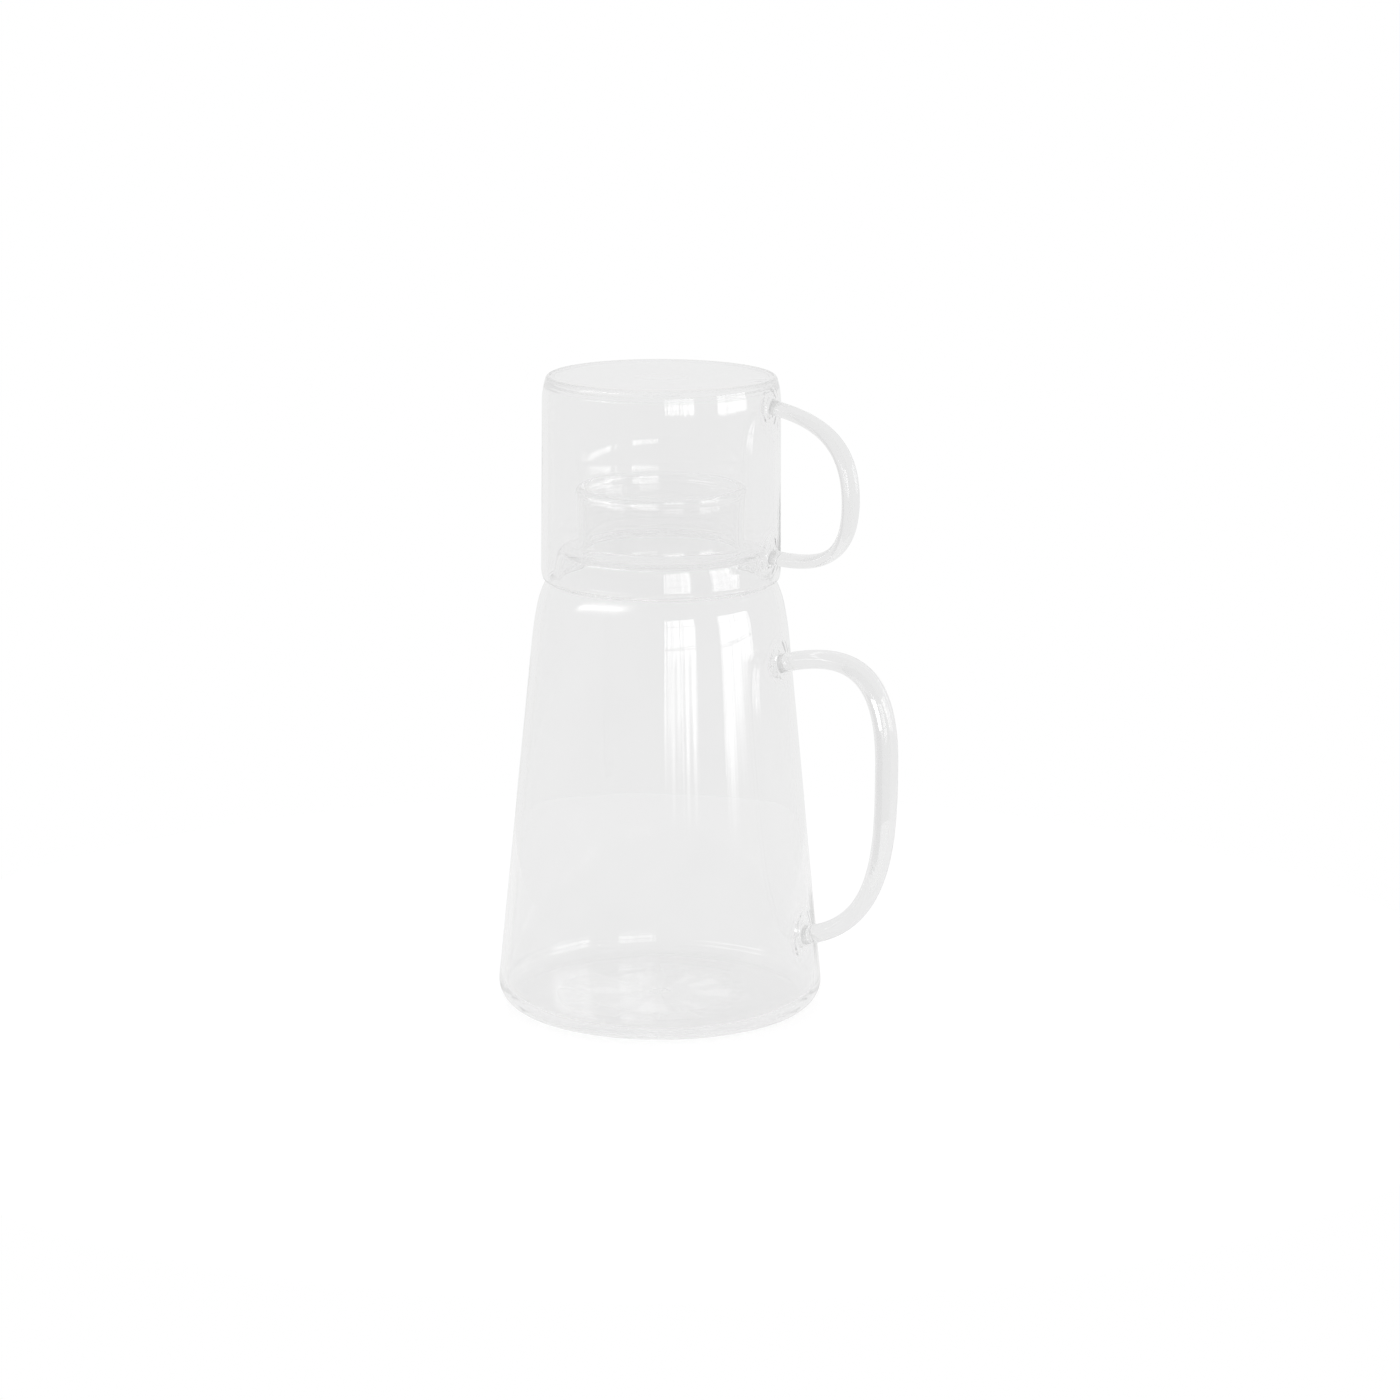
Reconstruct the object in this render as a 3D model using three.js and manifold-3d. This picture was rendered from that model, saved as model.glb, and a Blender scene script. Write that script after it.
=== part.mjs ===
// Glass carafe with a handled tumbler turned upside down over its neck as the lid.
// Millimetres, +Z up. The origin is where the carafe's axis meets the table, and both
// handles point along +X. Each vessel is a turned glass wall, and each handle is a
// flattened glass rod whose ends are shaped to the wall that they are fused to.
import * as THREE from 'three';
import { mergeVertices } from 'three/addons/utils/BufferGeometryUtils.js';
import Module from 'manifold-3d';

// Carafe: base, side and shoulder
const FOOT_RADIUS = 56;           // where the line of the side would meet the table
const SIDE_LEAN = 5.65;           // degrees that the side leans in as it rises
const HEEL_RADIUS = 8;            // rounding between the base and the side
const CARAFE_WALL = 2.2;
const CARAFE_FLOOR = 3.2;         // thickness of the base
const SHOULDER_START = 126;       // height where the side starts to turn in
const SHOULDER_RADIUS = 130;      // slow curve of the shoulder
const SHOULDER_TURN = 5.5;        // degrees that the slow curve turns
const BROW_RADIUS = 30;           // quicker curve that carries on above it
const BROW_TURN = 17;             // degrees that the quicker curve turns

// Carafe: the ledge that the tumbler's lip sits on, and the collar and deck inside the lip
const LEDGE_EDGE = 3;             // rounding between the brow and the ledge
const LEDGE_SLOPE = 28;           // degrees that the ledge rises towards the collar
const LEDGE_WIDTH = 1.3;          // from the end of that rounding in to the collar
const LEDGE_FILLET = 1.2;         // hollow rounding between the ledge and the collar
const COLLAR_LEAN = 4;            // degrees that the collar leans in at its foot
const COLLAR_RADIUS = 29;         // curve on which the collar leans in further
const COLLAR_TURN = 14;           // degrees that this curve turns
const DECK_EDGE = 2.6;            // rounding between the collar and the deck
const DECK_SLOPE = 10;            // degrees that the deck rises towards the neck

// Carafe: neck and rim
const MOUTH_RADIUS = 28.1;        // outside of the neck at the height of the rim
const NECK_FLARE = 1;             // degrees that the neck opens as it rises
const NECK_FILLET = 2;            // hollow rounding between the deck and the neck
const NECK_HEIGHT = 21;           // from the edge of the deck up to the top of the rim
const RIM_BEAD = 1.6;             // radius of the melted bead round the rim

// Carafe handle, along its centreline
const CARAFE_GRIP_TOP = 120.3;    // height of the upper end, inside the wall
const CARAFE_GRIP_BOTTOM = 28.3;  // height of the lower end, inside the wall
const CARAFE_GRIP_BELLY = 90.3;   // height of the outermost point
const CARAFE_GRIP_STANDOFF = 35.1; // from the side out to the outermost point
const CARAFE_GRIP_TOP_ANGLE = 18; // degrees that each end rises as it leaves the wall
const CARAFE_GRIP_BOTTOM_ANGLE = 4;
const CARAFE_GRIP_TOP_ARM = 25;   // how far the rod keeps its heading at each end,
const CARAFE_GRIP_BOTTOM_ARM = 34.7;
const CARAFE_GRIP_OVER_BELLY = 38.2; // and above and below its outermost point
const CARAFE_GRIP_UNDER_BELLY = 25.8;
const CARAFE_GRIP_ROOT_WIDTH = 9; // section near the welds, across and through
const CARAFE_GRIP_ROOT_THICKNESS = 6.2;
const CARAFE_GRIP_WIDTH = 13;     // flattened section at the belly
const CARAFE_GRIP_THICKNESS = 5.8;

// Tumbler, measured up from its mouth, which faces down
const TUMBLER_HEIGHT = 68.7;
const TUMBLER_END_RADIUS = 39.8;  // where the line of the side would meet the closed end
const TUMBLER_LIP_RADIUS = 40.3;  // outside, just above the lip
const TUMBLER_WALL = 2;
const TUMBLER_END = 3;            // thickness of the closed end
const END_BEND = 26;              // slow curve of the side towards the closed end
const END_TURN = 17;              // degrees that the slow curve turns
const TUMBLER_CORNER = 1.6;       // rounding outside between that curve and the closed end
const TUMBLER_INNER_CORNER = 2;   // the same inside
const LIP_BEND = 12;              // radius on which the lip is drawn in
const LIP_TURN = 14;              // degrees that the lip is drawn in
const SEAT_GAP = 0.3;             // clearance between the lip and the ledge

// Tumbler handle, the same sizes with heights measured up from the mouth
const TUMBLER_GRIP_TOP = 61.2;
const TUMBLER_GRIP_BOTTOM = 10.6;
const TUMBLER_GRIP_BELLY = 30.2;
const TUMBLER_GRIP_STANDOFF = 28.1;
const TUMBLER_GRIP_TOP_ANGLE = -9;
const TUMBLER_GRIP_BOTTOM_ANGLE = -8;
const TUMBLER_GRIP_TOP_ARM = 17.8;
const TUMBLER_GRIP_BOTTOM_ARM = 17;
const TUMBLER_GRIP_OVER_BELLY = 23.3;
const TUMBLER_GRIP_UNDER_BELLY = 23.5;
const TUMBLER_GRIP_ROOT_WIDTH = 7.6;
const TUMBLER_GRIP_ROOT_THICKNESS = 4.8;
const TUMBLER_GRIP_WIDTH = 11.5;
const TUMBLER_GRIP_THICKNESS = 3.8;
const GRIP_SQUARENESS = 3;        // 2 makes the belly's section an ellipse, more a strap

// Fused joints
const WELD_GAP = 0.3;             // clearance between a handle and its vessel
const WELD_SINK = 5;              // how far a rod runs into the wall before it is cut
const WELD_REACH = 2.5;           // length of a rod that spreads out towards the wall
const WELD_SPREAD = 1.15;         // how many times its section it spreads to

// Fineness of the facets
const TURN_STEPS = 56;
const ARC_STEPS = 3;
const BEAD_STEPS = 6;
const GRIP_STEPS = 36;
const GRIP_SIDES = 16;
const SEAT_SAMPLES = 50;

const CLEAR_GLASS = '#e9eceb';
const radians = THREE.MathUtils.degToRad;

// Points of a profile are Vector2: x is the distance from the axis, y is the height.
const direction = (angle) => new THREE.Vector2(Math.cos(angle), Math.sin(angle));
const pointOn = (centre, radius, angle) => centre.clone().addScaledVector(direction(angle), radius);

function arc(centre, radius, from, to, steps) {
  const clockwise = to < from;
  const curve = new THREE.EllipseCurve(centre.x, centre.y, radius, radius, from, to, clockwise);
  return curve.getPoints(steps);
}

// A straight run of a profile is kept as the angle that it faces and its distance from
// the origin along that angle, so that two runs can be moved in and then met again.
const lineThrough = (point, angle) => ({ angle, distance: point.dot(direction(angle)) });
const movedIn = (line, inset) => ({ angle: line.angle, distance: line.distance - inset });

function meet(first, second) {
  const a = direction(first.angle);
  const b = direction(second.angle);
  const cross = a.cross(b);
  return new THREE.Vector2(
    (first.distance * b.y - second.distance * a.y) / cross,
    (second.distance * a.x - first.distance * b.x) / cross,
  );
}

// Centre of a hollow rounding between two runs
const filletBetween = (first, second, radius) => meet(movedIn(first, -radius), movedIn(second, -radius));

// Lines and centres that the carafe's outer and inner skins share
const UP = Math.PI / 2;
const sideAngle = radians(SIDE_LEAN);
const shoulderAngle = sideAngle + radians(SHOULDER_TURN);
const browAngle = shoulderAngle + radians(BROW_TURN);
const ledgeAngle = UP - radians(LEDGE_SLOPE);
const collarFootAngle = radians(COLLAR_LEAN);
const collarAngle = collarFootAngle + radians(COLLAR_TURN);
const deckAngle = UP - radians(DECK_SLOPE);
const neckAngle = -radians(NECK_FLARE);

const sideLine = lineThrough(new THREE.Vector2(FOOT_RADIUS, 0), sideAngle);
const sideRadius = (height) => meet(sideLine, { angle: UP, distance: height }).x;
const shoulderStart = new THREE.Vector2(sideRadius(SHOULDER_START), SHOULDER_START);
const shoulderCentre = pointOn(shoulderStart, -SHOULDER_RADIUS, sideAngle);
const browCentre = pointOn(shoulderCentre, SHOULDER_RADIUS - BROW_RADIUS, shoulderAngle);
const ledgeEdgeCentre = pointOn(browCentre, BROW_RADIUS - LEDGE_EDGE, browAngle);
const ledgeStart = pointOn(ledgeEdgeCentre, LEDGE_EDGE, ledgeAngle);
const ledgeLine = lineThrough(ledgeStart, ledgeAngle);
const collarFoot = meet(ledgeLine, { angle: 0, distance: ledgeStart.x - LEDGE_WIDTH });
const collarLine = lineThrough(collarFoot, collarFootAngle);
const ledgeFilletCentre = filletBetween(ledgeLine, collarLine, LEDGE_FILLET);
const collarCentre = pointOn(ledgeFilletCentre, -LEDGE_FILLET - COLLAR_RADIUS, collarFootAngle);
const deckEdgeCentre = pointOn(collarCentre, COLLAR_RADIUS - DECK_EDGE, collarAngle);
const deckStart = pointOn(deckEdgeCentre, DECK_EDGE, deckAngle);
const deckLine = lineThrough(deckStart, deckAngle);
const rimHeight = deckStart.y + NECK_HEIGHT;
const neckLine = lineThrough(new THREE.Vector2(MOUTH_RADIUS, rimHeight), neckAngle);
const neckFilletCentre = filletBetween(deckLine, neckLine, NECK_FILLET);

// The carafe's skin from the base up to the neck, moved in from the outside by inset
function carafeSkin(inset, floorHeight) {
  const heelRadius = HEEL_RADIUS - inset;
  const heelLine = { angle: UP, distance: floorHeight + heelRadius };
  const heelCentre = meet(movedIn(sideLine, inset + heelRadius), heelLine);
  return [
    ...arc(heelCentre, heelRadius, -UP, sideAngle, ARC_STEPS),
    ...arc(shoulderCentre, SHOULDER_RADIUS - inset, sideAngle, shoulderAngle, ARC_STEPS),
    ...arc(browCentre, BROW_RADIUS - inset, shoulderAngle, browAngle, ARC_STEPS).slice(1),
    ...arc(ledgeEdgeCentre, LEDGE_EDGE - inset, browAngle, ledgeAngle, ARC_STEPS).slice(1),
    ...arc(ledgeFilletCentre, -LEDGE_FILLET - inset, ledgeAngle, collarFootAngle, ARC_STEPS),
    ...arc(collarCentre, COLLAR_RADIUS - inset, collarFootAngle, collarAngle, ARC_STEPS).slice(1),
    ...arc(deckEdgeCentre, DECK_EDGE - inset, collarAngle, deckAngle, ARC_STEPS).slice(1),
    ...arc(neckFilletCentre, -NECK_FILLET - inset, deckAngle, neckAngle, ARC_STEPS),
  ];
}

function carafeRim() {
  const midLine = movedIn(neckLine, CARAFE_WALL / 2);
  const centre = meet(midLine, { angle: UP, distance: rimHeight - RIM_BEAD });
  const undercut = Math.acos(CARAFE_WALL / 2 / RIM_BEAD);
  return arc(centre, RIM_BEAD, neckAngle - undercut, neckAngle + Math.PI + undercut, BEAD_STEPS);
}

// Lines and centres that the tumbler's outer and inner skins share
const lipTurn = radians(LIP_TURN);
const lipReach = LIP_BEND - TUMBLER_WALL / 2;
const lipEndRadius = TUMBLER_WALL / 2;
const lipHeight = lipEndRadius + lipReach * Math.sin(lipTurn);
const lipCentre = new THREE.Vector2(TUMBLER_LIP_RADIUS - LIP_BEND, lipHeight);
const lipEnd = pointOn(lipCentre, lipReach, -lipTurn);
const wallAngle = Math.atan2(TUMBLER_LIP_RADIUS - TUMBLER_END_RADIUS, TUMBLER_HEIGHT - lipHeight);
const wallLine = lineThrough(pointOn(lipCentre, LIP_BEND, wallAngle), wallAngle);
const wallRadius = (height) => meet(wallLine, { angle: UP, distance: height }).x;
const endRise = (END_BEND - TUMBLER_CORNER) * Math.sin(wallAngle + radians(END_TURN));
const endLine = { angle: UP, distance: TUMBLER_HEIGHT - TUMBLER_CORNER - endRise };
const endCentre = meet(movedIn(wallLine, END_BEND), endLine);

// The tumbler's skin from the lip up to the closed end, moved in by inset
function tumblerSkin(inset, endHeight, cornerRadius) {
  const reach = END_BEND - inset - cornerRadius;
  const cornerAngle = Math.asin((endHeight - cornerRadius - endCentre.y) / reach);
  const cornerCentre = pointOn(endCentre, reach, cornerAngle);
  return [
    ...arc(lipCentre, LIP_BEND - inset, -lipTurn, wallAngle, ARC_STEPS),
    ...arc(endCentre, END_BEND - inset, wallAngle, cornerAngle, ARC_STEPS),
    ...arc(cornerCentre, cornerRadius, cornerAngle, UP, ARC_STEPS).slice(1),
  ];
}

// Height at which a ring with a round section comes to rest on a skin
function restingHeight(skin, ringRadius, reach) {
  let height = 0;
  for (let edge = 1; edge < skin.length; edge += 1) {
    for (let sample = 0; sample <= SEAT_SAMPLES; sample += 1) {
      const point = skin[edge - 1].clone().lerp(skin[edge], sample / SEAT_SAMPLES);
      const across = point.x - ringRadius;
      if (Math.abs(across) < reach) {
        height = Math.max(height, point.y + Math.sqrt(reach ** 2 - across ** 2));
      }
    }
  }
  return height;
}

// A turned solid about Z, from a profile that starts and ends on the axis
function turned(profile) {
  const lathe = new THREE.LatheGeometry(profile, TURN_STEPS);
  return lathe.rotateX(UP);
}

function onAxis(height) {
  return new THREE.Vector2(0, height);
}

// How many times its own section a rod spreads to, at a distance from the wall
function weldSpread(fromWeld) {
  const nearness = 1 - THREE.MathUtils.clamp(fromWeld / WELD_REACH, 0, 1);
  return THREE.MathUtils.lerp(1, WELD_SPREAD, nearness ** 2);
}

// Reach of a section at a turn, as a share of half its size
const squared = (share, squareness) => Math.sign(share) * Math.abs(share) ** (2 / squareness);

// A rod along a centreline in the XZ plane, with a section that is wider across that plane
// and squarer towards the belly. Its rings lie closer together towards the welds, where it
// spreads out.
function rod(centreline, rootSection, bellySection) {
  const length = centreline.getLength();
  const positions = [];
  const triangles = [];
  for (let step = 0; step <= GRIP_STEPS; step += 1) {
    const share = (1 - Math.cos((Math.PI * step) / GRIP_STEPS)) / 2;
    const middle = centreline.getPointAt(share);
    const along = centreline.getTangentAt(share);
    const fromWeld = Math.min(share, 1 - share) * length - WELD_SINK;
    const flatness = Math.sin(Math.PI * share) ** 2;
    const squareness = THREE.MathUtils.lerp(2, GRIP_SQUARENESS, flatness);
    const section = rootSection.clone().lerp(bellySection, flatness);
    const { width: halfWidth, height: halfThickness } = section.multiplyScalar(weldSpread(fromWeld) / 2);
    for (let side = 0; side < GRIP_SIDES; side += 1) {
      const turn = (side / GRIP_SIDES) * 2 * Math.PI;
      const out = halfThickness * squared(Math.cos(turn), squareness);
      const across = halfWidth * squared(Math.sin(turn), squareness);
      positions.push(middle.x + along.y * out, across, middle.y - along.x * out);
    }
  }
  for (let step = 0; step < GRIP_STEPS; step += 1) {
    for (let side = 0; side < GRIP_SIDES; side += 1) {
      const here = step * GRIP_SIDES + side;
      const beside = step * GRIP_SIDES + ((side + 1) % GRIP_SIDES);
      triangles.push(here, beside, here + GRIP_SIDES);
      triangles.push(beside, beside + GRIP_SIDES, here + GRIP_SIDES);
    }
  }
  const lastRing = GRIP_STEPS * GRIP_SIDES;
  for (let side = 1; side < GRIP_SIDES - 1; side += 1) {
    triangles.push(0, side + 1, side);
    triangles.push(lastRing, lastRing + side, lastRing + side + 1);
  }
  const geometry = new THREE.BufferGeometry();
  geometry.setAttribute('position', new THREE.Float32BufferAttribute(positions, 3));
  geometry.setIndex(triangles);
  return geometry;
}

// A centreline of two curves that meet at its outermost point, the belly, where the rod
// runs straight down. Its ends lie in a wall whose radius at a height is wallAt.
function gripCurve({ wallAt, top, bottom, belly, standoff, topAngle, bottomAngle, arms }) {
  const topEnd = new THREE.Vector2(wallAt(top) - WELD_SINK, top);
  const bottomEnd = new THREE.Vector2(wallAt(bottom) - WELD_SINK, bottom);
  const outermost = new THREE.Vector2(wallAt(belly) + standoff, belly);
  const topHandle = pointOn(topEnd, arms.top, radians(topAngle));
  const bottomHandle = pointOn(bottomEnd, arms.bottom, radians(bottomAngle));
  const above = pointOn(outermost, arms.overBelly, UP);
  const below = pointOn(outermost, arms.underBelly, -UP);
  const curve = new THREE.CurvePath();
  curve.add(new THREE.CubicBezierCurve(topEnd, topHandle, above, outermost));
  curve.add(new THREE.CubicBezierCurve(outermost, below, bottomHandle, bottomEnd));
  return curve;
}

// Solids for cutting
const wasm = await Module();
wasm.setup();

function toSolid(geometry) {
  const plain = geometry.clone();
  plain.deleteAttribute('normal');
  plain.deleteAttribute('uv');
  const merged = mergeVertices(plain);
  const corners = Array.from(merged.index.array);
  const triVerts = [];
  for (let i = 0; i < corners.length; i += 3) {
    const [a, b, c] = corners.slice(i, i + 3);
    if (a !== b && b !== c && c !== a) {
      triVerts.push(a, b, c);
    }
  }
  return new wasm.Manifold(new wasm.Mesh({
    numProp: 3,
    vertProperties: Float32Array.from(merged.attributes.position.array),
    triVerts: Uint32Array.from(triVerts),
  }));
}

function toGeometry(solid) {
  const { numProp, vertProperties, triVerts } = solid.getMesh();
  const geometry = new THREE.BufferGeometry();
  geometry.setAttribute('position', new THREE.BufferAttribute(vertProperties, numProp));
  geometry.setIndex(new THREE.BufferAttribute(triVerts, 1));
  return geometry;
}

function fusedTo(blank, handle) {
  return toGeometry(toSolid(handle).subtract(toSolid(blank)));
}

function piece(name, geometry) {
  const material = new THREE.MeshStandardMaterial({
    color: CLEAR_GLASS,
    roughness: 0.04,
    metalness: 0,
    transparent: true,
    opacity: 0.35,
  });
  const mesh = new THREE.Mesh(geometry, material);
  mesh.name = name;
  mesh.geometry.computeVertexNormals();
  return mesh;
}

// Carafe
function carafeBody() {
  return turned([
    onAxis(0),
    ...carafeSkin(0, 0),
    ...carafeRim(),
    ...carafeSkin(CARAFE_WALL, CARAFE_FLOOR).reverse(),
    onAxis(CARAFE_FLOOR),
  ]);
}

function carafeHandle() {
  const skin = carafeSkin(-WELD_GAP, -WELD_GAP);
  const blank = turned([onAxis(-WELD_GAP), ...skin, onAxis(skin.at(-1).y)]);
  const curve = gripCurve({
    wallAt: sideRadius,
    top: CARAFE_GRIP_TOP,
    bottom: CARAFE_GRIP_BOTTOM,
    belly: CARAFE_GRIP_BELLY,
    standoff: CARAFE_GRIP_STANDOFF,
    topAngle: CARAFE_GRIP_TOP_ANGLE,
    bottomAngle: CARAFE_GRIP_BOTTOM_ANGLE,
    arms: {
      top: CARAFE_GRIP_TOP_ARM,
      bottom: CARAFE_GRIP_BOTTOM_ARM,
      overBelly: CARAFE_GRIP_OVER_BELLY,
      underBelly: CARAFE_GRIP_UNDER_BELLY,
    },
  });
  const rootSection = new THREE.Vector2(CARAFE_GRIP_ROOT_WIDTH, CARAFE_GRIP_ROOT_THICKNESS);
  const bellySection = new THREE.Vector2(CARAFE_GRIP_WIDTH, CARAFE_GRIP_THICKNESS);
  return fusedTo(blank, rod(curve, rootSection, bellySection));
}

// Tumbler
function tumblerBody() {
  const lip = arc(lipEnd, lipEndRadius, Math.PI - lipTurn, 2 * Math.PI - lipTurn, ARC_STEPS);
  return turned([
    onAxis(TUMBLER_HEIGHT - TUMBLER_END),
    ...tumblerSkin(TUMBLER_WALL, TUMBLER_HEIGHT - TUMBLER_END, TUMBLER_INNER_CORNER).reverse(),
    ...lip.slice(1, -1),
    ...tumblerSkin(0, TUMBLER_HEIGHT, TUMBLER_CORNER),
    onAxis(TUMBLER_HEIGHT),
  ]);
}

function tumblerHandle() {
  const skin = tumblerSkin(-WELD_GAP, TUMBLER_HEIGHT + WELD_GAP, TUMBLER_CORNER + WELD_GAP);
  const blank = turned([onAxis(skin[0].y), ...skin, onAxis(TUMBLER_HEIGHT + WELD_GAP)]);
  const curve = gripCurve({
    wallAt: wallRadius,
    top: TUMBLER_GRIP_TOP,
    bottom: TUMBLER_GRIP_BOTTOM,
    belly: TUMBLER_GRIP_BELLY,
    standoff: TUMBLER_GRIP_STANDOFF,
    topAngle: TUMBLER_GRIP_TOP_ANGLE,
    bottomAngle: TUMBLER_GRIP_BOTTOM_ANGLE,
    arms: {
      top: TUMBLER_GRIP_TOP_ARM,
      bottom: TUMBLER_GRIP_BOTTOM_ARM,
      overBelly: TUMBLER_GRIP_OVER_BELLY,
      underBelly: TUMBLER_GRIP_UNDER_BELLY,
    },
  });
  const rootSection = new THREE.Vector2(TUMBLER_GRIP_ROOT_WIDTH, TUMBLER_GRIP_ROOT_THICKNESS);
  const bellySection = new THREE.Vector2(TUMBLER_GRIP_WIDTH, TUMBLER_GRIP_THICKNESS);
  return fusedTo(blank, rod(curve, rootSection, bellySection));
}

const carafe = new THREE.Group();
carafe.add(piece('carafe_body', carafeBody()));
carafe.add(piece('carafe_handle', carafeHandle()));

// The tumbler's lip rests on the ledge, with the collar and the neck inside it.
const tumbler = new THREE.Group();
const seatHeight = restingHeight(carafeSkin(0, 0), lipEnd.x, lipEndRadius + SEAT_GAP);
tumbler.position.z = seatHeight - lipEnd.y;
tumbler.add(piece('tumbler_body', tumblerBody()));
tumbler.add(piece('tumbler_handle', tumblerHandle()));

const carafeWithTumbler = new THREE.Group();
carafeWithTumbler.add(carafe, tumbler);

export default carafeWithTumbler;
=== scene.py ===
"""Glass carafe closed by an upturned tumbler, each with a fused glass handle.

Each vessel is one body of glass: a turned wall, opened at two welds, with a flattened rod
drawn out of the upper weld and run into the lower one. Lengths are metres, +Z is up, and
both handles point along +X.
"""

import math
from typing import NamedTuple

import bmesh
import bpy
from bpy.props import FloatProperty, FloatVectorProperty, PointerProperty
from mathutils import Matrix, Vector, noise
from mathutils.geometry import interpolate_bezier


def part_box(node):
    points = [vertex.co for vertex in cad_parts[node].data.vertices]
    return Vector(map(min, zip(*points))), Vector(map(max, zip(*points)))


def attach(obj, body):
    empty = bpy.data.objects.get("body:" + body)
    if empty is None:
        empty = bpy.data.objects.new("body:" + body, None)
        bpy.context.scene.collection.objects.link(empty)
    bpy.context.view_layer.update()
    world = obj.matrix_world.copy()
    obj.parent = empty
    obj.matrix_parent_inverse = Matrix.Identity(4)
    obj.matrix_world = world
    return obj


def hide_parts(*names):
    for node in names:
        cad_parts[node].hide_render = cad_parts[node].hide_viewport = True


bl_info = {
    "name": "Glass Carafe with Tumbler",
    "version": (1, 0, 0),
    "blender": (4, 5, 0),
    "location": "3D View > Sidebar > Carafe",
    "description": "Models a blown glass carafe and the handled tumbler that closes it",
    "category": "Add Mesh",
}

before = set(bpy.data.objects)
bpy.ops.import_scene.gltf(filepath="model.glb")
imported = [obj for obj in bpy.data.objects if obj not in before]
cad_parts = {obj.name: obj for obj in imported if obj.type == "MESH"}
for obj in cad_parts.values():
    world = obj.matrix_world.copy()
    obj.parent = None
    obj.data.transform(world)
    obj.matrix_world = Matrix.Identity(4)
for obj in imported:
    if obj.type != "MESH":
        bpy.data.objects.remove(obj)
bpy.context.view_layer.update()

MM = 0.001
UP = math.pi / 2
CARAFE_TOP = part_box("carafe_body")[1].z
TUMBLER_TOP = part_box("tumbler_body")[1].z

# Fineness of the meshes, before one level of subdivision
TURN_STEPS = 128        # columns round a vessel
ROW_STEP = 14 * MM      # longest edge of a drawn section
LONG_ROW = 4 * MM       # rows closer than this are part of a bend, which has no drawn lines
SLOW_STEPS = 4          # steps of a slow curve, and of a swelling's curves
BEND_STEPS = 5          # of a rounding along the wall
CORNER_STEPS = 8        # of the corner at the tumbler's end
HEEL_STEPS = 9          # of the carafe's heel, and of the tumbler's lip
RIM_STEPS = 12          # of the carafe's rim
WELD_COLUMNS = 4        # columns of the wall that a weld covers on each side of its middle
WELD_ROWS = 3           # rows above and below its middle
ROD_RINGS = 120
ROD_CROWDING = 0.3      # how much closer the rings are near the welds, where 1 is touching
CURVE_SAMPLES = 240
FLOOR_STEPS = 96
SAME_PLACE = 0.02 * MM
SAME_CLOCK = 4          # digits to which places round a weld are compared

# Light in the glass and in the room
LIGHT_BOUNCES = 64      # light runs a long way inside the rims and the welds
DEEP_BOUNCE = 36.0      # after which the glass lets trapped light out, dimmed
GLOW_POWER = 3.0        # how steeply a light grows dim towards its edge
PANE_ROWS = 3
FIRST_PANES = 2         # panes across the first window
SECOND_PANES = 4
STRIP_COLUMNS = 4
STRIP_ROWS = 2
FOLD_PHASE = 0.5        # where the noise of the folds is read, halfway between its zeros
FOLD_SHADES = 1.7       # how much faster the shade changes than the sill
SENSOR_WIDTH = 36.0     # millimetres


def length(name, description, millimetres):
    return FloatProperty(
        name=name, description=description, default=millimetres * MM, unit="LENGTH", precision=5
    )


def angle(name, description, degrees):
    return FloatProperty(
        name=name, description=description, default=math.radians(degrees), unit="ROTATION"
    )


def linear(hex_colour):
    """Linear RGB of an sRGB hex colour."""
    channels = [int(hex_colour[i:i + 2], 16) / 255 for i in (1, 3, 5)]
    return tuple(c / 12.92 if c <= 0.04045 else ((c + 0.055) / 1.055) ** 2.4 for c in channels)


def colour(name, description, hex_colour):
    return FloatVectorProperty(
        name=name, description=description, default=linear(hex_colour), subtype="COLOR",
        min=0.0, max=1.0,
    )


class CarafeSizes(bpy.types.PropertyGroup):
    foot_radius: length("Foot radius", "Where the line of the side would meet the table", 56)
    side_lean: angle("Side lean", "How far the side leans in as it rises", 5.65)
    heel_radius: length("Heel radius", "Rounding between the base and the side", 8)
    wall: length("Wall", "Thickness of the side", 2.2)
    floor: length("Floor", "Thickness of the base", 3.2)
    shoulder_start: length("Shoulder start", "Height where the side starts to turn in", 126)
    shoulder_radius: length("Shoulder radius", "Slow curve of the shoulder", 130)
    shoulder_turn: angle("Shoulder turn", "How far the slow curve turns", 5.5)
    brow_radius: length("Brow radius", "Quicker curve that carries on above it", 30)
    brow_turn: angle("Brow turn", "How far the quicker curve turns", 17)
    ledge_edge: length("Ledge edge", "Rounding between the brow and the ledge", 3)
    ledge_slope: angle("Ledge slope", "How far the tumbler's seat rises towards the collar", 28)
    ledge_width: length("Ledge width", "From the end of that rounding in to the collar", 1.3)
    ledge_fillet: length("Ledge fillet", "Hollow rounding between the ledge and the collar", 1.2)
    collar_lean: angle("Collar lean", "How far the collar leans in at its foot", 4)
    collar_radius: length("Collar radius", "Curve on which the collar leans in further", 29)
    collar_turn: angle("Collar turn", "How far this curve turns", 14)
    deck_edge: length("Deck edge", "Rounding between the collar and the deck", 2.6)
    deck_slope: angle("Deck slope", "How far the deck rises towards the neck", 10)
    mouth_radius: length("Mouth radius", "Outside of the neck at the rim", 28.1)
    neck_flare: angle("Neck flare", "How far the neck opens as it rises", 1)
    neck_fillet: length("Neck fillet", "Hollow rounding between the deck and the neck", 2)
    height: length("Height", "Top of the rim above the table", CARAFE_TOP / MM)
    rim_bead: length("Rim bead", "Radius of the melted bead round the rim", 1.6)
    pontil_radius: length("Pontil radius", "Reach of the low swelling in the floor", 5)
    pontil_height: length("Pontil height", "Rise of the low swelling in the floor", 0.9)


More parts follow.
